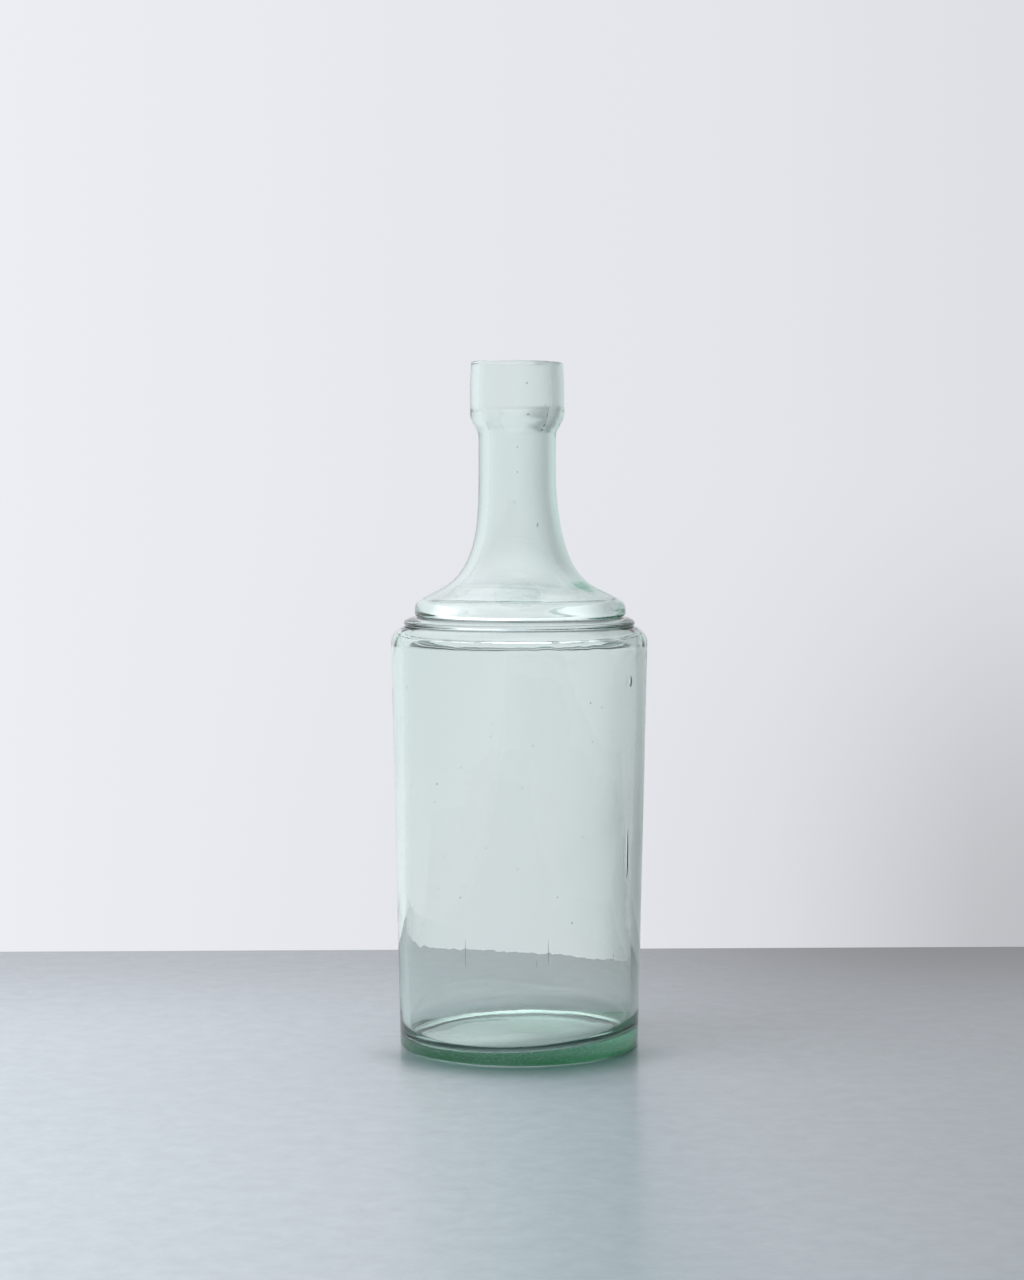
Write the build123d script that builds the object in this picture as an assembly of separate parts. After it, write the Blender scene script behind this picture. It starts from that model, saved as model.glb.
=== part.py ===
from build123d import *
import os
from math import cos, radians, sin, tan

# Bottle vase in pale-green glass, turned about the Z axis and standing on Z = 0.
# The sections are stacked face to face: base, body, shoulder ring, neck and mouth cup.
# Lengths are in millimetres.

# Base
foot_ring_width = 5.0
punt_rise = 1.2            # shallow hollow under the base, inside the foot ring
heel_round = 1.6
floor_thickness = 5.0
floor_corner = 8.0         # inside round between the floor and the wall
base_rise = 1.0            # straight wall of the base above that round

# Body
shoulder_height = 185.3    # from the table to the top of the shoulder
shoulder_radius = 56.8     # outer wall, carried up to the top of the shoulder
wall_taper = 3.9           # how much smaller the radius is at the foot
foot_wall = 3.8
shoulder_wall = 5.1
shoulder_round = 7.5
ledge_drop = 7.7           # inside, from the top of the shoulder down to where the bore turns in
ledge_run = 1.65           # inward run of the ledge under the throat
ledge_tilt = 50.0          # degrees from upright
ledge_round = 2.0
throat_tilt = 36.0         # the throat's cone, in degrees from upright

# Shoulder ring
ring_inset = 6.95          # from the body's radius to the tip of the ring
ring_height = 3.8
ring_bulge = 1.2           # how far the ring's curved edge stands out

# Neck, with the rolled bead at its foot
bead_inset = 3.3           # from the tip of the ring to the bead
bead_height = 6.6          # from the ring up to where the slope would meet the bead
bead_round = 5.0
bead_heel = 1.4
pocket_round = 7.0         # inside round between the slope and the throat
slope_angle = 27.2         # degrees below the horizontal
slope_run = 12.5           # straight slope between the bead and the flare
slope_wall = 4.2
neck_height = 78.2         # from the ring up to the mouth's section
neck_straight = 14.0       # straight tube at the top of the neck
neck_radius = 17.05
neck_wall = 5.65
flare_pull_top = 0.59      # fullness of the flare, as shares of its height and of its width
flare_pull_foot = 0.77

# Mouth cup
mouth_height = 34.0
collar_height = 3.0        # short tube under the cup
collar_round = 6.0
cup_overhang = 3.7         # from the neck's radius to the cup's
cup_underside = 6.4        # height of the cup's sloping underside
cup_round = 5.0
cup_wall = 4.6
funnel_foot = 4.6          # inside slope from the neck's bore out to the cup's
funnel_height = 7.6
funnel_foot_round = 4.0
funnel_top_round = 14.0
lip_draw = 0.5             # how far the cup draws in at the lip, and from how far below it
lip_drop = 10.0
draw_round = 30.0
lip_round = 0.8

# Levels up the vase
base_top = floor_thickness + floor_corner + base_rise
ring_top = shoulder_height + ring_height
cup_foot = ring_top + neck_height
lip_top = cup_foot + mouth_height

# Radii that the sections share
ring_radius = shoulder_radius - ring_inset
bead_radius = ring_radius - bead_inset
foot_bore = shoulder_radius - wall_taper - foot_wall
body_bore = shoulder_radius - shoulder_wall
neck_bore = neck_radius - neck_wall
cup_radius = neck_radius + cup_overhang
cup_bore = cup_radius - cup_wall

# Corners of the slope above the bead, and of the ledge, the throat and the pocket inside
slope = radians(slope_angle)
bead_corner = (bead_radius, ring_top + bead_height)
slope_top = (bead_radius - slope_run, bead_corner[1] + slope_run * tan(slope))
inside_slope_top = (slope_top[0] - slope_wall * sin(slope), slope_top[1] - slope_wall * cos(slope))
ledge_corner = (body_bore, shoulder_height - ledge_drop)
throat_foot = (body_bore - ledge_run, ledge_corner[1] + ledge_run / tan(radians(ledge_tilt)))


def wall_radius(height):
    """Outer radius of the tapered wall at a height above the table."""
    return shoulder_radius - wall_taper * (1 - height / shoulder_height)


def bore_radius(height):
    """Inner radius of the tapered wall, between the floor and the ledge."""
    share = (height - floor_thickness) / (ledge_corner[1] - floor_thickness)
    return foot_bore + share * (body_bore - foot_bore)


def throat_radius(height):
    """Inner radius of the cone that narrows from the ledge up to the pocket inside the bead."""
    return throat_foot[0] - (height - throat_foot[1]) * tan(radians(throat_tilt))


def pocket_corner():
    """Point where the throat's cone meets the underside of the bead's slope."""
    drop = inside_slope_top[1] - throat_foot[1] - (throat_foot[0] - inside_slope_top[0]) * tan(slope)
    height = throat_foot[1] + drop / (1 - tan(radians(throat_tilt)) * tan(slope))
    return throat_radius(height), height


def turned(outline):
    """Spin a closed half-section, drawn as radius and height, about the vase's axis."""
    section = make_face((Plane.XZ * outline).edges())
    return revolve(section, Axis.Z)


def flare(neck_point, slope_point):
    """Horn-shaped curve from a vertical neck line down to the top of the bead's slope."""
    top_pull = flare_pull_top * (neck_point[1] - slope_point[1])
    foot_pull = flare_pull_foot * (slope_point[0] - neck_point[0])
    neck_handle = (neck_point[0], neck_point[1] - top_pull)
    slope_handle = (slope_point[0] - foot_pull * cos(slope), slope_point[1] + foot_pull * sin(slope))
    return Bezier(neck_point, neck_handle, slope_handle, slope_point)


def make_base():
    """Thick base: a shallow hollow inside the foot ring, a round heel and a dished floor."""
    foot_radius = wall_radius(0)
    ring_inside = foot_radius - foot_ring_width
    outline = Curve() + [
        TangentArc((0, punt_rise), (ring_inside, 0), tangent=(1, 0)),
        FilletPolyline(
            (ring_inside, 0),
            (foot_radius, 0),
            (wall_radius(base_top), base_top),
            radius=[heel_round],
        ),
        Line((wall_radius(base_top), base_top), (bore_radius(base_top), base_top)),
        FilletPolyline(
            (bore_radius(base_top), base_top),
            (foot_bore, floor_thickness),
            (0, floor_thickness),
            radius=[floor_corner],
        ),
        Line((0, floor_thickness), (0, punt_rise)),
    ]
    return turned(outline)


def make_body():
    """Tapered wall with its rounded shoulder; the bore turns in over a ledge to the throat."""
    outline = FilletPolyline(
        (wall_radius(base_top), base_top),
        (shoulder_radius, shoulder_height),
        (throat_radius(shoulder_height), shoulder_height),
        throat_foot,
        ledge_corner,
        (bore_radius(base_top), base_top),
        radius=[0, shoulder_round, 0, ledge_round, ledge_round, 0],
        close=True,
    )
    return turned(outline)


def make_shoulder_ring():
    """Low ring with a curved edge, between the shoulder and the bead."""
    edge_radius = ring_radius - ring_bulge
    inside_foot = (throat_radius(shoulder_height), shoulder_height)
    inside_top = (throat_radius(ring_top), ring_top)
    outline = Curve() + [
        Line(inside_foot, (edge_radius, shoulder_height)),
        ThreePointArc(
            (edge_radius, shoulder_height),
            (ring_radius, shoulder_height + ring_height / 2),
            (edge_radius, ring_top),
        ),
        Line((edge_radius, ring_top), inside_top),
        Line(inside_top, inside_foot),
    ]
    return turned(outline)


def make_neck():
    """Straight tube that flares to a straight slope and a rolled bead, hollow to its foot."""
    flare_top = cup_foot - neck_straight
    throat_top = (throat_radius(ring_top), ring_top)
    outline = Curve() + [
        FilletPolyline(
            throat_top,
            (bead_radius, ring_top),
            bead_corner,
            slope_top,
            radius=[bead_heel, bead_round],
        ),
        flare((neck_radius, flare_top), slope_top),
        Line((neck_radius, flare_top), (neck_radius, cup_foot)),
        Line((neck_radius, cup_foot), (neck_bore, cup_foot)),
        Line((neck_bore, cup_foot), (neck_bore, flare_top)),
        flare((neck_bore, flare_top), inside_slope_top),
        FilletPolyline(
            inside_slope_top,
            pocket_corner(),
            throat_top,
            radius=[pocket_round],
        ),
    ]
    return turned(outline)


def make_mouth_cup():
    """Cup-shaped mouth drawn in to a rounded lip, whose bore funnels down to the neck's."""
    underside_foot = cup_foot + collar_height
    outline = FilletPolyline(
        (neck_radius, cup_foot),
        (neck_radius, underside_foot),
        (cup_radius, underside_foot + cup_underside),
        (cup_radius, lip_top - lip_drop),
        (cup_radius - lip_draw, lip_top),
        (cup_bore, lip_top),
        (cup_bore, cup_foot + funnel_foot + funnel_height),
        (neck_bore, cup_foot + funnel_foot),
        (neck_bore, cup_foot),
        radius=[
            0, collar_round, cup_round, draw_round, lip_round,
            lip_round, funnel_top_round, funnel_foot_round, 0,
        ],
        close=True,
    )
    return turned(outline)


sections = {
    "base": make_base(),
    "body": make_body(),
    "shoulder_ring": make_shoulder_ring(),
    "neck": make_neck(),
    "mouth_cup": make_mouth_cup(),
}

os.makedirs("parts", exist_ok=True)
for name, solid in sections.items():
    export_step(solid, f"parts/{name}.step")
    print(name, f"{solid.volume / 1000:.1f} cm3")
print("height", f"{lip_top:.1f} mm", "width", f"{2 * shoulder_radius:.1f} mm before rounding")
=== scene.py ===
import math

import bmesh
import bpy
import numpy as np
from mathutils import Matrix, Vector


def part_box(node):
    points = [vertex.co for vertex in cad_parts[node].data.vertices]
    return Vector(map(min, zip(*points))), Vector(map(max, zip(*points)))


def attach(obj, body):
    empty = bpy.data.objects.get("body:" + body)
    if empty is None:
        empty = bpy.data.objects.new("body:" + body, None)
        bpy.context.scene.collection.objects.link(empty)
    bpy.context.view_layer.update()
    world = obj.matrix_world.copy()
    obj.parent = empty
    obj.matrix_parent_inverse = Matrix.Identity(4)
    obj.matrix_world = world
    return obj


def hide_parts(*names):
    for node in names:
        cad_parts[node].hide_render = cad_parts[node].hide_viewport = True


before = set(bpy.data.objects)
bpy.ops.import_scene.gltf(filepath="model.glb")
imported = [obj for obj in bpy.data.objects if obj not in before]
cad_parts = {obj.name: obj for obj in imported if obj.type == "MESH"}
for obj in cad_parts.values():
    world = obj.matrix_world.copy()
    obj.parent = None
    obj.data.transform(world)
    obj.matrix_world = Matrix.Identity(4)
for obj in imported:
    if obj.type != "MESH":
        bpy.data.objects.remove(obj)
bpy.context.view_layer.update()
mm = 0.001
noiseMiddle = 0.5             # mean of a noise texture
print("frame loaded:", ", ".join(sorted(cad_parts)))


# Small helpers for node trees and meshes

def addNode(tree, kind, inputs=None, **settings):
    node = tree.nodes.new(kind)
    for name, value in settings.items():
        setattr(node, name, value)
    for name, value in (inputs or {}).items():
        socket = node.inputs[name]
        if isinstance(value, bpy.types.NodeSocket):
            tree.links.new(value, socket)
        else:
            socket.default_value = value
    return node


def mathNode(tree, operation, first, second=0.0):
    return addNode(tree, "ShaderNodeMath", {0: first, 1: second}, operation=operation).outputs[0]


def product(tree, first, *others):
    result = first
    for other in others:
        result = mathNode(tree, "MULTIPLY", result, other)
    return result


def vectorNode(tree, operation, first, second):
    node = addNode(tree, "ShaderNodeVectorMath", {0: first, 1: second}, operation=operation)
    return node.outputs["Vector"]


def scaledVector(tree, vector, factor):
    node = addNode(tree, "ShaderNodeVectorMath", {0: vector, "Scale": factor}, operation="SCALE")
    return node.outputs["Vector"]


def vectorLength(tree, vector):
    return addNode(tree, "ShaderNodeVectorMath", {0: vector}, operation="LENGTH").outputs["Value"]


def ramped(tree, value, span, levels=(0.0, 1.0), easing="SMOOTHSTEP"):
    # goes from the first level to the second while the value crosses the span
    return addNode(tree, "ShaderNodeMapRange", {
        "Value": value, "From Min": span[0], "From Max": span[1], "To Min": levels[0], "To Max": levels[1],
    }, interpolation_type=easing).outputs[0]


def noiseNode(tree, vector, scale, detail, roughness=0.5):
    return addNode(tree, "ShaderNodeTexNoise", {
        "Vector": vector, "Scale": scale, "Detail": detail, "Roughness": roughness,
    }).outputs[0]


def objectPlace(tree):
    # Object coordinates, their three axes, and the same without the height
    where = tree.nodes.new("ShaderNodeTexCoord").outputs["Object"]
    axes = addNode(tree, "ShaderNodeSeparateXYZ", {0: where}).outputs
    flat = addNode(tree, "ShaderNodeCombineXYZ", {"X": axes["X"], "Y": axes["Y"]}).outputs[0]
    return where, axes, flat


def namedField(tree, kind, name):
    node = addNode(tree, "GeometryNodeInputNamedAttribute", {"Name": name}, data_type=kind)
    return node.outputs["Attribute"]


def addField(mesh, name, values):
    values = np.asarray(values, np.float32)
    kind, key = ("FLOAT_VECTOR", "vector") if values.ndim == 2 else ("FLOAT", "value")
    mesh.attributes.new(name, kind, "POINT").data.foreach_set(key, values.ravel())


def newTree(name, inputs):
    tree = bpy.data.node_groups.new(name, "GeometryNodeTree")
    tree.interface.new_socket("Geometry", in_out="INPUT", socket_type="NodeSocketGeometry")
    for label, kind in inputs:
        tree.interface.new_socket(label, in_out="INPUT", socket_type="NodeSocket" + kind)
    tree.interface.new_socket("Geometry", in_out="OUTPUT", socket_type="NodeSocketGeometry")
    return tree, tree.nodes.new("NodeGroupInput").outputs, tree.nodes.new("NodeGroupOutput").inputs


def finishTree(tree, geometry, material, made):
    real = addNode(tree, "GeometryNodeRealizeInstances", {"Geometry": geometry})
    dressed = addNode(tree, "GeometryNodeSetMaterial", {"Geometry": real.outputs[0], "Material": material})
    tree.links.new(dressed.outputs[0], made["Geometry"])


def grownMesh(name, startMesh, tree, values):
    holder = bpy.data.objects.new(name + "Start", startMesh)
    bpy.context.scene.collection.objects.link(holder)
    modifier = holder.modifiers.new("grow", "NODES")
    modifier.node_group = tree
    for item in tree.interface.items_tree:
        if item.in_out == "INPUT" and item.name in values:
            modifier[item.identifier] = values[item.name]
    graph = bpy.context.evaluated_depsgraph_get()
    mesh = bpy.data.meshes.new_from_object(holder.evaluated_get(graph))
    mesh.name = name
    holder.modifiers.remove(modifier)
    bpy.data.objects.remove(holder)
    return mesh


# The half-section of the glass, as radius and height in millimetres

profile = {
    "puntRise": 1.2,          # shallow hollow under the base
    "puntRound": 60.0,
    "footRing": 5.0,          # width of the flat ring that the vase stands on
    "heelRound": 1.0,
    "floorThick": 5.0,
    "floorCorner": 8.0,
    "footBore": 49.1,         # inner radius at the floor and under the shoulder
    "bodyBore": 51.7,
    "shoulderRound": 7.5,
    "widestDrop": 1.02,       # where the wall is widest, in shoulder rounds below the shoulder's top
    "ledgeDrop": 6.8,         # inner corner under the shoulder, below the shoulder's top
    "ledgeTilt": 50.0,        # degrees from upright
    "ledgeRun": 1.3,
    "ledgeRound": 4.8,
    "throatTilt": 33.0,       # degrees from upright
    "throatRound": 2.0,
    "ringFoot": (             # corners of the ring: out from its radius, up from the shoulder, round
        (0.4, 0.05, 0.3),
        (1.4, 1.4, 1.1),
    ),
    "ringHead": (             # the same, up from the ring's top
        (0.6, -1.2, 1.6),
        (-2.0, 0.0, 2.0),
    ),
    "beadFoot": (             # crease and corner under the bead: out from its radius, up from the ring, round
        (-1.4, 0.1, 0.3),
        (0.0, 1.4, 1.3),
    ),
    "beadRound": 5.0,
    "beadHeight": 6.6,
    "pocketRound": 9.0,       # inside, between the throat and the slope
    "slopeAngle": 27.2,       # degrees below level
    "slopeRun": 12.5,
    "slopeWall": 4.0,
    "flarePulls": (0.59, 0.77),   # fullness of the flare, as shares of its height and of its width
    "neckStraight": 14.0,
    "neckOverhang": 3.7,      # from the neck's radius to the cup's
    "neckWall": 5.65,
    "collarRise": 3.0,        # from the foot of the cup's own section to the crease under the cup
    "collarRound": 7.0,
    "cupUnderside": 6.4,
    "cupRound": 5.0,
    "cupWall": 4.6,
    "funnelFoot": 4.2,        # inside, from the foot of the cup's own section
    "funnelTop": 11.6,
    "funnelRounds": (7.0, 10.0),
    "lipDraw": 0.5,           # how far the cup draws in at the lip, and from how far below it
    "lipDrop": 10.0,
    "drawRound": 30.0,
    "lipMiddle": 2.0,         # from the cup's bore to where outside and inside meet
    "lipRounds": (0.8, 0.8),  # outside and inside
    "inset": 0.08,            # keeps the wavy wall within the frame's own box
    "fineStep": 0.04,         # spacing before the points are thinned
    "finest": 0.16,           # shortest and longest spacing of the section's points
    "longest": 3.2,
    "perRadius": 0.15,        # spacing on a bend, as a share of its radius
    "easing": 0.22,           # how fast the spacing may grow along the section
}


def nodeSize(name):
    low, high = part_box(name)
    return low.z / mm, high.z / mm, max(high.x, high.y) / mm


def unit(vector):
    return vector / np.linalg.norm(vector)


def evenShares(count):
    return np.linspace(0, 1, count, endpoint=False)[:, None]


def denseLine(start, end, step):
    count = max(2, int(np.linalg.norm(end - start) / step))
    return start + (end - start) * evenShares(count)


def roundedPath(corners, step, fewest=8):
    # corners are (radius, height, round); the first and last are the path's ends
    points = [np.array(corner[:2], float) for corner in corners]
    path = []
    start = points[0]
    for before, corner, after, spec in zip(points, points[1:], points[2:], corners[1:]):
        bend = spec[2]
        toBack = unit(before - corner)
        toNext = unit(after - corner)
        half = math.acos(float(np.clip(toBack @ toNext, -1, 1))) / 2
        reach = bend / math.tan(half)
        enter = corner + toBack * reach
        leave = corner + toNext * reach
        centre = corner + unit(toBack + toNext) * bend / math.sin(half)
        path.append(denseLine(start, enter, step))
        count = max(fewest, int(bend * (math.pi - 2 * half) / step))
        spokes = enter + (leave - enter) * evenShares(count) - centre     # chord, pushed out to the arc
        path.append(centre + spokes / np.linalg.norm(spokes, axis=1)[:, None] * bend)
        start = leave
    path.append(denseLine(start, points[-1], step))
    return np.vstack(path)


def flareCurve(neck, slope, angle, pulls, count=1600):
    # horn-shaped curve from the neck's straight line down to the top of the slope
    neck = np.array(neck, float)
    slope = np.array(slope, float)
    away = np.array((-math.cos(angle), math.sin(angle)))
    share = evenShares(count)
    return (
        (1 - share) ** 3 * neck
        + 3 * share * (1 - share) ** 2 * (neck - (0, pulls[0] * (neck[1] - slope[1])))
        + 3 * share ** 2 * (1 - share) * (slope + away * pulls[1] * (slope[0] - neck[0]))
        + share ** 3 * slope
    )


def movedCorners(corners, radius, height):
    return [(radius + out, height + up, bend) for out, up, bend in corners]


def halfSection(p):
    _, baseTop, baseRadius = nodeSize("base")
    shoulderTop, ringTop, ringRadius = nodeSize("shoulder_ring")
    cupFoot, lipTop, cupRadius = nodeSize("mouth_cup")
    bodyRadius = nodeSize("body")[2]
    beadRadius = nodeSize("neck")[2]
    widest = shoulderTop - p["widestDrop"] * p["shoulderRound"]
    taper = (bodyRadius - baseRadius) / (widest - baseTop)

    def wall(height):
        return baseRadius + (height - baseTop) * taper - p["inset"]

    neckRadius = cupRadius - p["neckOverhang"]
    neckBore = neckRadius - p["neckWall"]
    cupBore = cupRadius - p["cupWall"]
    flareTop = cupFoot - p["neckStraight"]
    underCup = cupFoot + p["collarRise"]
    drawFrom = lipTop - p["lipDrop"]
    lipMiddle = (cupBore + p["lipMiddle"], lipTop)
    beadTop = ringTop + p["beadHeight"]

    # corners of the slope, the ledge, the throat and the pocket
    angle = math.radians(p["slopeAngle"])
    slopeTop = (beadRadius - p["slopeRun"], beadTop + p["slopeRun"] * math.tan(angle))
    insideTop = (
        slopeTop[0] - p["slopeWall"] * math.sin(angle),
        slopeTop[1] - p["slopeWall"] * math.cos(angle),
    )
    ledge = (p["bodyBore"], shoulderTop - p["ledgeDrop"])
    ledgeRise = p["ledgeRun"] / math.tan(math.radians(p["ledgeTilt"]))
    throatFoot = (ledge[0] - p["ledgeRun"], ledge[1] + ledgeRise)
    lean = math.tan(math.radians(p["throatTilt"]))
    drop = insideTop[1] - throatFoot[1] - (throatFoot[0] - insideTop[0]) * math.tan(angle)
    rise = drop / (1 - lean * math.tan(angle))
    pocket = (throatFoot[0] - rise * lean, throatFoot[1] + rise)

    outside = np.vstack([
        roundedPath([
            (0, p["puntRise"], 0),
            (wall(0) - p["footRing"], 0, p["puntRound"]),
            (wall(0), 0, p["heelRound"]),
            (wall(shoulderTop), shoulderTop, p["shoulderRound"]),
            *movedCorners(p["ringFoot"], ringRadius, shoulderTop),
            *movedCorners(p["ringHead"], ringRadius, ringTop),
            *movedCorners(p["beadFoot"], beadRadius, ringTop),
            (beadRadius, beadTop, p["beadRound"]),
            (*slopeTop, 0),
        ], p["fineStep"]),
        flareCurve((neckRadius, flareTop), slopeTop, angle, p["flarePulls"])[::-1],
        roundedPath([
            (neckRadius, flareTop, 0),
            (neckRadius, underCup, p["collarRound"]),
            (cupRadius, underCup + p["cupUnderside"], p["cupRound"]),
            (cupRadius, drawFrom, p["drawRound"]),
            (cupRadius - p["lipDraw"], lipTop, p["lipRounds"][0]),
            (*lipMiddle, 0),
        ], p["fineStep"]),
    ])
    inside = np.vstack([
        roundedPath([
            (*lipMiddle, 0),
            (cupBore - p["lipDraw"], lipTop, p["lipRounds"][1]),
            (cupBore, drawFrom, p["drawRound"]),
            (cupBore, cupFoot + p["funnelTop"], p["funnelRounds"][1]),
            (neckBore, cupFoot + p["funnelFoot"], p["funnelRounds"][0]),
            (neckBore, flareTop, 0),
        ], p["fineStep"]),
        flareCurve((neckBore, flareTop), insideTop, angle, p["flarePulls"]),
        roundedPath([
            (*insideTop, 0),
            (*pocket, p["pocketRound"]),
            (*throatFoot, p["throatRound"]),
            (*ledge, p["ledgeRound"]),
            (p["footBore"], p["floorThick"], p["floorCorner"]),
            (0, p["floorThick"], 0),
        ], p["fineStep"]),
        [(0, p["floorThick"])],
    ])
    return outside, inside


def spacedPoints(path, p, window=3, tiny=1e-6):
    # keeps points where the section bends, and thins them along the straight walls
    gaps = np.linalg.norm(np.diff(path, axis=0), axis=1)
    path = path[np.concatenate([[True], gaps > tiny])]
    gaps = np.linalg.norm(np.diff(path, axis=0), axis=1)
    along = np.concatenate([[0], np.cumsum(gaps)])
    heading = np.unwrap(np.arctan2(np.diff(path[:, 1]), np.diff(path[:, 0])))
    turning = np.abs(heading[2 * window:] - heading[:-2 * window])
    bend = np.zeros(len(path))
    bend[window:-window - 1] = turning / (along[2 * window:-1] - along[:-2 * window - 1])
    spacing = np.clip(p["perRadius"] / np.maximum(bend, tiny), p["finest"], p["longest"])
    for i in range(1, len(spacing)):
        spacing[i] = min(spacing[i], spacing[i - 1] + p["easing"] * gaps[i - 1])
    for i in range(len(spacing) - 2, -1, -1):
        spacing[i] = min(spacing[i], spacing[i + 1] + p["easing"] * gaps[i])
    density = np.concatenate([[0], np.cumsum(gaps * 2 / (spacing[1:] + spacing[:-1]))])
    count = int(round(density[-1])) + 1
    places = np.interp(np.linspace(0, density[-1], count), density, along)
    radii = np.interp(places, along, path[:, 0])
    heights = np.interp(places, along, path[:, 1])
    return np.column_stack([radii, heights]), places


# How the blown glass departs from a true turning, in millimetres

handwork = {
    "sides": 208,             # faces around
    "mergeWithin": 0.01,      # closes the seam and the two ends on the axis
    "outerWave": 0.05,        # long waves of the outer and the inner face
    "innerWave": 0.16,
    "waveLength": 34.0,
    "ridgeRipple": 0.25,      # short, uneven waves on the inner ridge and on the rest of the bore
    "bodyRipple": 0.03,
    "rippleLength": 9.0,
    "seed": 4.0,
    "footTrue": (1.5, 6.0),   # heights over which the waves set in above the foot and end at the lip
    "lipTrue": (295.0, 300.3),
    "ridgeFoot": (170.0, 174.0),      # heights over which the inner ridge begins and ends
    "ridgeTop": (180.0, 186.0),
    "lipBlend": 4.0,          # how far from the lip's middle the outer face has turned into the inner
    "neckLean": (             # height, and shift to the right of outside and inside together
        (0, 0.0), (187, 0.0), (191, 0.4), (216, 0.0), (251, -0.9), (301, -0.9),
    ),
    "boreShift": (            # the same for the inside alone
        (10, 0.3), (70, -0.3), (130, 0.0), (184, 0.0),
        (203, -1.4), (236, -0.75), (262, -0.7), (284, -0.7),
    ),
    "floorBack": 0.02,        # slope with which the floor rises to the back and to the right
    "floorRight": 0.05,
    "floorFade": (10.0, 24.0),    # heights over which that slant ends in the wall
    "lipTilt": 0.010,         # the lip is higher on the left
    "lipTiltSpan": (283.0, 299.0),
    "lipReach": 20.7,         # from the axis to the lip's highest point
}


def smoothStep(values, low, high):
    share = np.clip((values - low) / (high - low), 0, 1)
    return share * share * (3 - 2 * share)


def smoothFall(values, low, high):
    return smoothStep(-values, -high, -low)


def easedTable(values, knots):
    # runs level through each knot, so that no kink shows in the glass
    result = np.full(len(values), float(knots[0][1]))
    for (low, start), (high, end) in zip(knots, knots[1:]):
        result += (end - start) * smoothStep(values, low, high)
    return result


def sectionMesh(p, h):
    outside, inside = halfSection(p)
    lipAlong = np.linalg.norm(np.diff(outside, axis=0), axis=1).sum()
    points, along = spacedPoints(np.vstack([outside, inside]), p)
    points[[0, -1], 0] = 0    # both ends lie on the axis
    heights = points[:, 1]
    zeros = np.zeros(len(points))
    slopes = np.gradient(points, axis=0)
    outward = np.column_stack([slopes[:, 1], zeros, -slopes[:, 0]])
    inner = smoothStep(along, lipAlong - h["lipBlend"], lipAlong + h["lipBlend"])
    free = smoothStep(heights, *h["footTrue"]) * smoothFall(heights, *h["lipTrue"])
    ridge = inner * smoothStep(heights, *h["ridgeFoot"]) * smoothFall(heights, *h["ridgeTop"])
    waves = (h["outerWave"] * (1 - inner) + h["innerWave"] * inner) * free
    ripples = (h["bodyRipple"] + (h["ridgeRipple"] - h["bodyRipple"]) * ridge) * inner * free
    lean = easedTable(heights, h["neckLean"]) + easedTable(heights, h["boreShift"]) * inner

    mesh = bpy.data.meshes.new("glassSection")
    corners = np.column_stack([points[:, 0], zeros, heights]) * mm
    mesh.from_pydata(corners.tolist(), [(i, i + 1) for i in range(len(points) - 1)], [])
    addField(mesh, "wave", waves * mm)
    addField(mesh, "ripple", ripples * mm)
    addField(mesh, "lean", lean * mm)
    addField(mesh, "tilt", h["lipTilt"] * smoothStep(heights, *h["lipTiltSpan"]))
    addField(mesh, "floor", smoothFall(heights, *h["floorFade"]) * inner)
    addField(mesh, "push", outward / np.linalg.norm(slopes, axis=1)[:, None])
    return mesh


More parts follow.
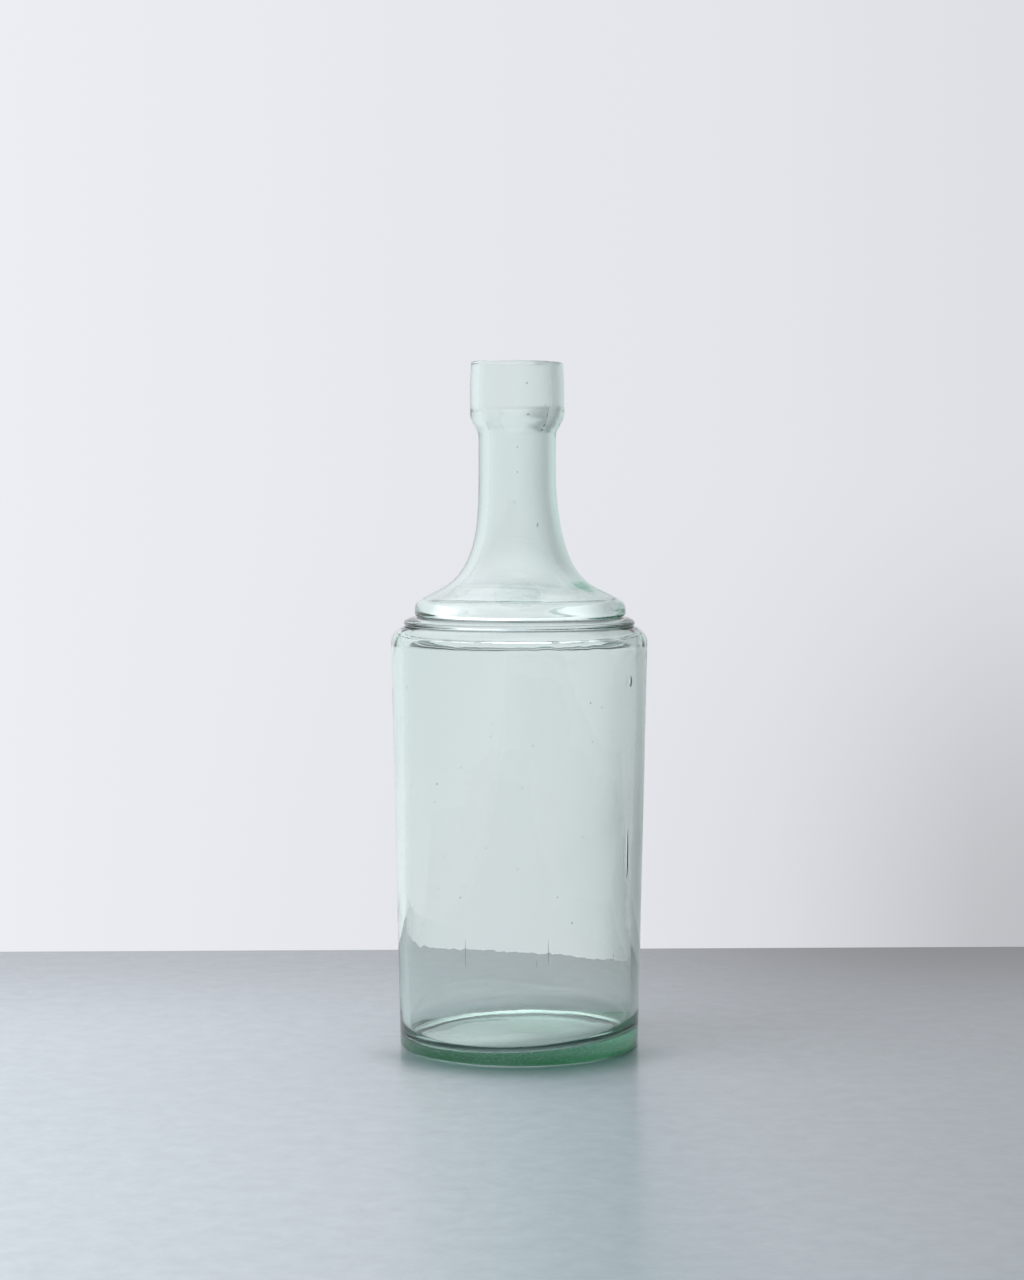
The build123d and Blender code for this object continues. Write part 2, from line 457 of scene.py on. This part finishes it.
def turningTree():
    tree, given, made = newTree("turnedGlass", [
        ("Sides", "Int"), ("Wave Length", "Float"), ("Ripple Length", "Float"), ("Seed", "Float"),
        ("Floor Back", "Float"), ("Floor Right", "Float"), ("Lip Reach", "Float"),
        ("Merge Within", "Float"), ("Glass", "Material"),
    ])
    section = given["Geometry"]
    count = addNode(tree, "GeometryNodeAttributeDomainSize", {"Geometry": section}).outputs["Point Count"]
    columns = mathNode(tree, "ADD", given["Sides"], 1.0)
    grid = addNode(tree, "GeometryNodeMeshGrid", {"Vertices X": columns, "Vertices Y": count})
    index = tree.nodes.new("GeometryNodeInputIndex").outputs[0]
    row = mathNode(tree, "MODULO", index, count)
    column = mathNode(tree, "FLOOR", mathNode(tree, "DIVIDE", index, count))
    angle = product(tree, mathNode(tree, "DIVIDE", column, given["Sides"]), math.tau)

    def fromSection(kind, value):
        return addNode(tree, "GeometryNodeSampleIndex", {
            "Geometry": section, "Value": value, "Index": row,
        }, data_type=kind).outputs["Value"]

    def sampled(name):
        return fromSection("FLOAT", namedField(tree, "FLOAT", name))

    def turned(vector):
        return addNode(tree, "ShaderNodeVectorRotate", {
            "Vector": vector, "Angle": angle,
        }, rotation_type="Z_AXIS").outputs[0]

    def unevenness(length, name):
        noise = addNode(tree, "ShaderNodeTexNoise", {
            "Vector": place, "W": given["Seed"], "Detail": 1.0,
            "Scale": mathNode(tree, "DIVIDE", 1.0, length),
        }, noise_dimensions="4D").outputs[0]
        swing = product(tree, mathNode(tree, "SUBTRACT", noise, noiseMiddle), 2.0)
        return product(tree, swing, sampled(name))

    position = tree.nodes.new("GeometryNodeInputPosition").outputs[0]
    place = turned(fromSection("FLOAT_VECTOR", position))
    push = turned(fromSection("FLOAT_VECTOR", namedField(tree, "FLOAT_VECTOR", "push")))
    wave = unevenness(given["Wave Length"], "wave")
    ripple = unevenness(given["Ripple Length"], "ripple")
    swell = mathNode(tree, "ADD", wave, ripple)
    moved = vectorNode(tree, "ADD", place, scaledVector(tree, push, swell))
    axes = addNode(tree, "ShaderNodeSeparateXYZ", {0: moved}).outputs
    drop = product(tree, sampled("tilt"), mathNode(tree, "ADD", axes["X"], given["Lip Reach"]))
    backward = product(tree, axes["Y"], given["Floor Back"])
    rightward = product(tree, axes["X"], given["Floor Right"])
    rise = product(tree, sampled("floor"), mathNode(tree, "ADD", backward, rightward))
    final = addNode(tree, "ShaderNodeCombineXYZ", {
        "X": mathNode(tree, "ADD", axes["X"], sampled("lean")),
        "Y": axes["Y"],
        "Z": mathNode(tree, "ADD", mathNode(tree, "SUBTRACT", axes["Z"], drop), rise),
    }).outputs[0]
    shaped = addNode(tree, "GeometryNodeSetPosition", {"Geometry": grid.outputs["Mesh"], "Position": final})
    closed = addNode(tree, "GeometryNodeMergeByDistance", {
        "Geometry": shaped.outputs[0], "Distance": given["Merge Within"],
    })
    smooth = addNode(tree, "GeometryNodeSetShadeSmooth", {"Geometry": closed.outputs[0]})
    finishTree(tree, smooth.outputs[0], given["Glass"], made)
    return tree


# Pale-green glass

glass = {
    "ior": 1.52,
    "absorbColour": (0.03, 0.471, 0.277),
    "absorbPerMetre": 24.2,
    "polished": 0.0,          # roughness of the glass, and of the scuffed hollow under the base
    "scuffed": 0.24,
    "scuffHeight": 2.0,       # mm
    "scuffRadius": 44.0,
    "scuffGrain": (900.0, 3.0),       # scale and detail of the noise
    "peel": 0.02,             # strength of the fine surface ripple
    "peelDepth": 1.0,         # mm
    "peelGrain": (160.0, 2.0),
    "streakScale": (25.0, 25.0, 350.0),       # the painted shade bands vary along level streaks
    "streakDetail": 2.0,
    "streakSpan": (0.3, 0.7),
    "streakLevels": (0.35, 1.4),
    "shadeBands": (                # painted shade: height, half-width and inner radius in mm, share at the back, loss of light
        (189.2, 0.9, 44.8, 1.0, (0.88, 0.87, 0.85)),      # painted shade in the two creases
        (185.4, 0.4, 44.8, 1.0, (0.12, 0.12, 0.12)),
        (1.2, 5.8, 51.0, 0.15, (0.72, 0.44, 0.63)),       # deeper green at the thick foot and painted shade, mostly in front
    ),
    "backSpan": (-0.02, 0.03),        # metres over which a band turns from the front to the back
}


def glassMaterial(g):
    material = bpy.data.materials.new("pale_green_glass")
    material.use_nodes = True
    tree = material.node_tree
    tree.nodes.clear()
    where, axes, flat = objectPlace(tree)
    height = axes["Z"]
    radius = vectorLength(tree, flat)

    # the bands paint shade into the colour at the outer face
    drawn = vectorNode(tree, "MULTIPLY", where, g["streakScale"])
    noise = noiseNode(tree, drawn, 1.0, g["streakDetail"])
    streak = ramped(tree, noise, g["streakSpan"], g["streakLevels"], "LINEAR")
    shadeTint = 1.0, 1.0, 1.0
    for middle, half, fromRadius, atBack, loss in g["shadeBands"]:
        distance = mathNode(tree, "ABSOLUTE", mathNode(tree, "SUBTRACT", height, middle * mm))
        share = ramped(tree, distance, (0.0, half * mm), (1.0, 0.0))
        around = ramped(tree, axes["Y"], g["backSpan"], (1.0, atBack))
        outside = mathNode(tree, "GREATER_THAN", radius, fromRadius * mm)
        lost = scaledVector(tree, loss, product(tree, share, streak, around, outside))
        shadeTint = vectorNode(tree, "SUBTRACT", shadeTint, lost)

    low = mathNode(tree, "LESS_THAN", height, g["scuffHeight"] * mm)
    under = product(tree, low, mathNode(tree, "LESS_THAN", radius, g["scuffRadius"] * mm))
    grain = noiseNode(tree, where, *g["scuffGrain"])
    rough = ramped(tree, under, (0.0, 1.0), (g["polished"], g["scuffed"]), "LINEAR")
    bump = addNode(tree, "ShaderNodeBump", {
        "Height": noiseNode(tree, where, *g["peelGrain"]), "Strength": g["peel"],
        "Distance": g["peelDepth"] * mm,
    })
    shader = addNode(tree, "ShaderNodeBsdfPrincipled", {
        "Base Color": shadeTint, "Normal": bump.outputs[0],
        "Roughness": product(tree, rough, mathNode(tree, "ADD", grain, noiseMiddle)),
        "IOR": g["ior"], "Transmission Weight": 1.0,
    })
    volume = addNode(tree, "ShaderNodeVolumeAbsorption", {
        "Color": (*g["absorbColour"], 1), "Density": g["absorbPerMetre"],
    })
    addNode(tree, "ShaderNodeOutputMaterial", {"Surface": shader.outputs[0], "Volume": volume.outputs[0]})
    return material


paleGlass = glassMaterial(glass)
vesselMesh = grownMesh("vessel", sectionMesh(profile, handwork), turningTree(), {
    "Sides": handwork["sides"],
    "Wave Length": handwork["waveLength"] * mm,
    "Ripple Length": handwork["rippleLength"] * mm,
    "Seed": handwork["seed"],
    "Floor Back": handwork["floorBack"],
    "Floor Right": handwork["floorRight"],
    "Lip Reach": handwork["lipReach"] * mm,
    "Merge Within": handwork["mergeWithin"] * mm,
    "Glass": paleGlass,
})
print("glass turned:", len(vesselMesh.polygons), "faces")


# Air trapped in the glass, turned inside out so that each bubble is a hollow

bubbles = {
    "placed": (               # height, degrees right of the front, radius, size; width and length in sizes
        (291.3, 9.6, 18.5, 0.34, 1.0, 1.3),       # in the cup
        (281.8, 36.0, 18.5, 0.28, 1.0, 1.6),
        (277.9, 11.0, 18.2, 0.3, 1.4, 1.0),
        (263.7, -3.4, 14.4, 0.2, 1.0, 2.4),       # in the neck
        (252.9, -3.4, 14.4, 0.22, 1.0, 2.0),
        (229.8, 27.4, 16.0, 0.5, 1.0, 1.6),
        (119.6, -40.7, 53.0, 0.3, 1.0, 1.5),      # in the body
        (60.8, 25.0, 52.0, 0.32, 1.0, 1.4),
        (44.4, 50.2, 51.7, 0.32, 1.0, 1.4),
        (198.4, -46.7, 36.9, 0.4, 1.0, 1.0),      # in the slope
        (162.6, 60.2, 53.8, 0.6, 2.0, 4.0),       # long ones at the body's right limb
        (87.5, 60.2, 52.4, 0.34, 3.0, 31.0),
        (47.3, -26.0, 51.8, 0.14, 1.0, 46.0),     # threads low in the body
        (48.3, 13.5, 51.8, 0.14, 1.0, 42.0),
        (44.3, 8.0, 51.8, 0.12, 1.0, 22.0),
    ),
    "bodyCore": ((51.3, 16.0), (51.7, 50.0), (53.0, 120.0), (53.8, 170.0)),   # radius and height
    "neckCore": ((14.3, 239.0), (14.3, 253.0), (14.3, 266.0)),
    "coreSides": 24,
    "bodyDensity": 1500.0,    # scattered bubbles to the square metre
    "neckDensity": 4500.0,
    "smallest": 0.09,
    "largest": 0.26,
    "stretch": 1.5,           # length of a scattered one, in widths
    "seed": 11,
    "placedSteps": 3,         # how finely the balls are divided
    "scatteredSteps": 2,
}


def bubbleTree(scattered):
    tree, given, made = newTree("scatteredBubbles" if scattered else "placedBubbles", [
        ("Density", "Float"), ("Smallest", "Float"), ("Largest", "Float"), ("Stretch", "Float"),
        ("Seed", "Int"), ("Steps", "Int"), ("Glass", "Material"),
    ])
    points = given["Geometry"]
    if scattered:
        points = addNode(tree, "GeometryNodeDistributePointsOnFaces", {
            "Mesh": points, "Density": given["Density"], "Seed": given["Seed"],
        }).outputs["Points"]
        size = addNode(tree, "FunctionNodeRandomValue", {
            "Min": given["Smallest"], "Max": given["Largest"], "Seed": given["Seed"],
        }, data_type="FLOAT").outputs["Value"]
        longer = addNode(tree, "ShaderNodeCombineXYZ", {"X": 1.0, "Y": 1.0, "Z": given["Stretch"]})
        scale = scaledVector(tree, longer.outputs[0], size)
        turn = 0.0
    else:
        scale = namedField(tree, "FLOAT_VECTOR", "scale")
        turn = namedField(tree, "FLOAT", "turn")
    ball = addNode(tree, "GeometryNodeMeshIcoSphere", {"Radius": 1.0, "Subdivisions": given["Steps"]})
    hollow = addNode(tree, "GeometryNodeFlipFaces", {"Mesh": ball.outputs["Mesh"]})
    smooth = addNode(tree, "GeometryNodeSetShadeSmooth", {"Geometry": hollow.outputs[0]})
    spread = addNode(tree, "GeometryNodeInstanceOnPoints", {
        "Points": points, "Instance": smooth.outputs[0], "Scale": scale,
        "Rotation": addNode(tree, "ShaderNodeCombineXYZ", {"Z": turn}).outputs[0],
    })
    finishTree(tree, spread.outputs[0], given["Glass"], made)
    return tree


def coreSheet(points, sides):
    # middle of the wall, as a plain turned sheet for scattering on
    corners = []
    for radius, height in points:
        for i in range(sides):
            angle = math.tau * i / sides
            corners.append((radius * mm * math.cos(angle), radius * mm * math.sin(angle), height * mm))
    faces = []
    for low in range(0, (len(points) - 1) * sides, sides):
        high = low + sides
        for i in range(sides):
            after = (i + 1) % sides
            faces.append((low + i, low + after, high + after, high + i))
    mesh = bpy.data.meshes.new("glassCore")
    mesh.from_pydata(corners, [], faces)
    return mesh


def placedPoints(places):
    centres = []
    scales = []
    turns = []
    for height, bearing, radius, size, wide, long in places:
        angle = math.radians(bearing)
        centres.append((radius * mm * math.sin(angle), -radius * mm * math.cos(angle), height * mm))
        scales.append((size * wide * mm, size * mm, size * long * mm))
        turns.append(angle)
    mesh = bpy.data.meshes.new("bubblePoints")
    mesh.from_pydata(centres, [], [])
    addField(mesh, "scale", scales)
    addField(mesh, "turn", turns)
    return mesh


def bubbleMeshes(b):
    values = {
        "Smallest": b["smallest"] * mm, "Largest": b["largest"] * mm, "Stretch": b["stretch"],
        "Seed": b["seed"], "Steps": b["scatteredSteps"], "Glass": paleGlass,
    }
    placedValues = {**values, "Steps": b["placedSteps"]}
    yield grownMesh("placedBubbles", placedPoints(b["placed"]), bubbleTree(False), placedValues)
    scatter = bubbleTree(True)
    for name, core, density in (
        ("bodyBubbles", b["bodyCore"], b["bodyDensity"]),
        ("neckBubbles", b["neckCore"], b["neckDensity"]),
    ):
        sheet = coreSheet(core, b["coreSides"])
        yield grownMesh(name, sheet, scatter, {**values, "Density": density})


shape = bmesh.new()
shape.from_mesh(vesselMesh)
for hollows in bubbleMeshes(bubbles):
    print(hollows.name, len(hollows.polygons), "faces")
    shape.from_mesh(hollows)
shape.to_mesh(vesselMesh)
shape.free()

# One skin of glass stands for all five sections
vessel = bpy.data.objects.new("vessel", vesselMesh)
bpy.context.scene.collection.objects.link(vessel)
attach(vessel, "root")
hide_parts("base", "body", "shoulder_ring", "neck", "mouth_cup")
print("vessel finished:", len(vesselMesh.vertices), "points,", len(vesselMesh.polygons), "faces")


# Table top, light and backdrop, in metres

studio = {
    "tableSides": (-0.36, 1.1),
    "tableBack": 0.2445,      # back edge behind the vase's axis
    "tableDeep": 2.2,
    "tableThick": 0.03,
    "tableYaw": 1.66,         # degrees
    "tableGap": 0.0002,       # keeps the foot clear of the table's own face
    "tableColour": (0.40, 0.45, 0.49),
    "tableRough": 0.22,
    "mottle": 0.09,
    "mottleGrain": (90.0, 8.0, 0.7),  # scale, detail and roughness of the noise
    "mottleSpan": (0.25, 0.75),
    "paintedSideLight": (1.32, 0.58),        # painted light, lighter towards the left and darker towards the right
    "sideSpan": (-0.3, 0.3),
    # painted light, lighter towards the front
    "paintedFrontLight": 1.12,
    "frontSpan": (-0.35, 0.2),
    "rearLoss": (0.44, 0.95),         # light lost towards the back edge, left and right
    "rearSpan": (0.0, 0.28),
    "rearAcross": (0.0, 0.24),
    "footSpan": (0.040, 0.047),       # radii over which the foot's ring begins
    "underGain": 0.9,                 # light that the glass gathers under the floor
    "underSpan": (0.040, 0.050),
    "glow": 0.46,
    "glowColour": (0.93, 1.0, 0.97),
    "glowMiddle": (-0.026, 0.0, 0.0),
    "glowSpan": (0.012, 0.045),
    "glowLeast": 0.1,
    "contactLoss": (0.75, 0.58, 0.62),    # light that the foot keeps off the table in front of it
    "contactReach": (0.044, 0.078),
    "contactShift": (0.0, 0.008, 0.0),
    "contactFront": (-0.035, 0.0),
    "shadeLoss": (0.2, 0.12, 0.115),      # faint green shade in front of the vase
    "shadeMiddle": 0.018,
    "shadeHalf": 0.07,
    "shadeFront": (-0.09, -0.03),
    "backdrop": (0.80, 0.81, 0.855),
    "highLevels": (           # the backdrop's level by bearing, in degrees to the right of its middle
        (-180, 1.3), (-100, 1.15), (-60, 1.2), (-25, 1.17), (-11, 1.05), (0, 0.985), (4, 0.975), (10, 0.92),
        (14, 0.9), (20, 0.83), (27, 0.77), (35, 0.73), (50, 0.72), (75, 0.8), (110, 1.0), (180, 1.3),
    ),
    "lowLevels": (            # the same, low down
        (-180, 1.3), (-100, 1.15), (-60, 1.2), (-25, 1.17), (-11, 1.05), (0, 0.96), (3, 0.95), (6, 0.88),
        (10, 0.66), (14, 0.57), (20, 0.5), (30, 0.52), (50, 0.68), (75, 0.78), (110, 1.0), (180, 1.3),
    ),
    "levelSines": (-0.165, 0.0175),   # sines of the elevations between which low turns to high
    "overhead": 1.0,          # how much brighter it is above
    "overheadSines": (0.4, 0.85),
    "fill": 0.72,             # level of the plain light that falls on the table from all round
    "keyPower": 22.0,         # soft lamp from the left
    "keySize": (1.6, 1.6),
    "keyPlace": (-1.5, -0.5, 1.3),
    "keyAim": (0.0, 0.0, 0.12),
}


def tableMaterial(s):
    material = bpy.data.materials.new("pale_table")
    material.use_nodes = True
    tree = material.node_tree
    where, axes, flat = objectPlace(tree)
    radius = vectorLength(tree, flat)

    # painted light and shade on the bare table: lighter to the left and the front, darker towards the back,
    # times a random mottle in its tone
    grain = noiseNode(tree, where, *s["mottleGrain"])
    mottle = ramped(tree, grain, s["mottleSpan"], (1 - s["mottle"], 1 + s["mottle"]), "LINEAR")
    across = ramped(tree, axes["X"], s["sideSpan"], s["paintedSideLight"])
    along = ramped(tree, axes["Y"], s["frontSpan"], (s["paintedFrontLight"], 1.0))
    toRear = ramped(tree, axes["Y"], s["rearSpan"])
    rearLoss = product(tree, toRear, ramped(tree, axes["X"], s["rearAcross"], s["rearLoss"]))
    rear = mathNode(tree, "SUBTRACT", 1.0, rearLoss)
    paintedLightAndMottle = product(tree, across, along, rear, mottle)

    # light gathered under the vase
    under = mathNode(tree, "ADD", ramped(tree, radius, s["underSpan"], (s["underGain"], 0.0)), 1.0)
    fromMiddle = vectorLength(tree, vectorNode(tree, "SUBTRACT", flat, s["glowMiddle"]))
    inFoot = ramped(tree, radius, s["footSpan"], (1.0, 0.0))
    glow = product(tree, inFoot, ramped(tree, fromMiddle, s["glowSpan"], (1.0, s["glowLeast"])), s["glow"])

    # shade at the foot, and in front of the vase
    ahead = vectorLength(tree, vectorNode(tree, "ADD", flat, s["contactShift"]))
    close = ramped(tree, ahead, s["contactReach"], (1.0, 0.0))
    outOfFoot = ramped(tree, radius, s["footSpan"])
    contact = product(tree, close, outOfFoot, ramped(tree, axes["Y"], s["contactFront"], (1.0, 0.0)))
    aside = mathNode(tree, "ABSOLUTE", mathNode(tree, "SUBTRACT", axes["X"], s["shadeMiddle"]))
    inShade = ramped(tree, aside, (0.0, s["shadeHalf"]), (1.0, 0.0))
    shade = product(tree, inShade, ramped(tree, axes["Y"], s["shadeFront"], (1.0, 0.0)))

    colour = scaledVector(tree, scaledVector(tree, s["tableColour"], paintedLightAndMottle), under)
    for loss, amount in ((s["contactLoss"], contact), (s["shadeLoss"], shade)):
        kept = vectorNode(tree, "SUBTRACT", (1.0, 1.0, 1.0), scaledVector(tree, loss, amount))
        colour = vectorNode(tree, "MULTIPLY", colour, kept)
    shader = tree.nodes["Principled BSDF"]
    shader.inputs["Roughness"].default_value = s["tableRough"]
    shader.inputs["Emission Color"].default_value = (*s["glowColour"], 1)
    tree.links.new(glow, shader.inputs["Emission Strength"])
    tree.links.new(colour, shader.inputs["Base Color"])
    return material


def tableTop(s):
    back = s["tableBack"]
    front = back - s["tableDeep"]
    levels = (-s["tableThick"], 0.0)
    corners = [(x, y, z) for z in levels for y in (front, back) for x in s["tableSides"]]
    faces = [(0, 2, 3, 1), (4, 5, 7, 6), (0, 1, 5, 4), (2, 6, 7, 3), (0, 4, 6, 2), (1, 3, 7, 5)]
    mesh = bpy.data.meshes.new("tableTop")
    mesh.from_pydata(corners, [], faces)
    mesh.materials.append(tableMaterial(s))
    table = bpy.data.objects.new("tableTop", mesh)
    table.rotation_euler.z = math.radians(s["tableYaw"])
    table.location.z = -s["tableGap"]
    bpy.context.scene.collection.objects.link(table)


def backdropWorld(s):
    world = bpy.data.worlds.new("paleBackdrop")
    bpy.context.scene.world = world
    world.use_nodes = True
    tree = world.node_tree
    tree.nodes.clear()
    direction = tree.nodes.new("ShaderNodeTexCoord").outputs["Generated"]
    aim = addNode(tree, "ShaderNodeSeparateXYZ", {0: direction}).outputs
    bearing = mathNode(tree, "ARCTAN2", aim["X"], aim["Y"])      # 0 behind the vase, positive to the right
    turn = ramped(tree, bearing, (-math.pi, math.pi), easing="LINEAR")

    def levelAround(levels):
        ramp = addNode(tree, "ShaderNodeValToRGB", {"Fac": turn})
        stops = ramp.color_ramp.elements
        while len(stops) < len(levels):
            stops.new(0.5)
        for stop, (degrees, level) in zip(stops, levels):
            stop.position = (degrees + 180) / 360
            stop.color = level, level, level, 1
        return ramp.outputs["Color"]

    around = addNode(tree, "ShaderNodeMix", {
        0: ramped(tree, aim["Z"], s["levelSines"]),
        "A": levelAround(s["lowLevels"]), "B": levelAround(s["highLevels"]),
    }, data_type="FLOAT").outputs[0]
    above = ramped(tree, aim["Z"], s["overheadSines"], (1.0, 1.0 + s["overhead"]))
    seen = addNode(tree, "ShaderNodeBackground", {
        "Color": (*s["backdrop"], 1), "Strength": product(tree, around, above),
    })
    fill = addNode(tree, "ShaderNodeBackground", {"Color": (1, 1, 1, 1), "Strength": s["fill"]})
    rays = tree.nodes.new("ShaderNodeLightPath").outputs
    throughGlass = mathNode(tree, "MAXIMUM", rays["Is Glossy Ray"], rays["Is Transmission Ray"])
    inView = mathNode(tree, "MAXIMUM", rays["Is Camera Ray"], throughGlass)
    mix = addNode(tree, "ShaderNodeMixShader", {0: inView, 1: fill.outputs[0], 2: seen.outputs[0]})
    addNode(tree, "ShaderNodeOutputWorld", {"Surface": mix.outputs[0]})


def softLight(s):
    lamp = bpy.data.lights.new("softLight", "AREA")
    lamp.shape = "RECTANGLE"
    lamp.size, lamp.size_y = s["keySize"]
    lamp.energy = s["keyPower"]
    light = bpy.data.objects.new("softLight", lamp)
    light.location = s["keyPlace"]
    light.visible_camera = False
    light.visible_glossy = False
    light.visible_transmission = False
    aim = Vector(s["keyAim"]) - light.location
    light.rotation_euler = aim.to_track_quat("-Z", "Y").to_euler()
    bpy.context.scene.collection.objects.link(light)


tableTop(studio)
backdropWorld(studio)
softLight(studio)
print("table, backdrop and light set")


# Camera, measured from the ellipses of the mouth, shoulder and base

view = {
    "focalPixels": 2694.0,
    "imageHigh": 1280,
    "sensor": 36.0,           # mm, along the image's longer side
    "distance": 1.188,        # metres
    "height": 0.2433,
    "aside": -0.0032,
    "pitch": 3.1,             # degrees down
    "bounces": 32,            # enough for light to pass all the walls of the glass
}


def placeCamera(v):
    data = bpy.data.cameras.new("camera")
    data.sensor_width = v["sensor"]
    data.lens = v["focalPixels"] * v["sensor"] / v["imageHigh"]
    camera = bpy.data.objects.new("camera", data)
    camera.location = v["aside"], -v["distance"], v["height"]
    camera.rotation_euler = math.radians(90 - v["pitch"]), 0, 0
    bpy.context.scene.collection.objects.link(camera)
    bpy.context.scene.camera = camera


placeCamera(view)
scene = bpy.context.scene
scene.view_settings.view_transform = "Standard"
scene.cycles.max_bounces = view["bounces"]
scene.cycles.transmission_bounces = view["bounces"]
scene.cycles.glossy_bounces = view["bounces"]
print("camera placed")

print("finishing")
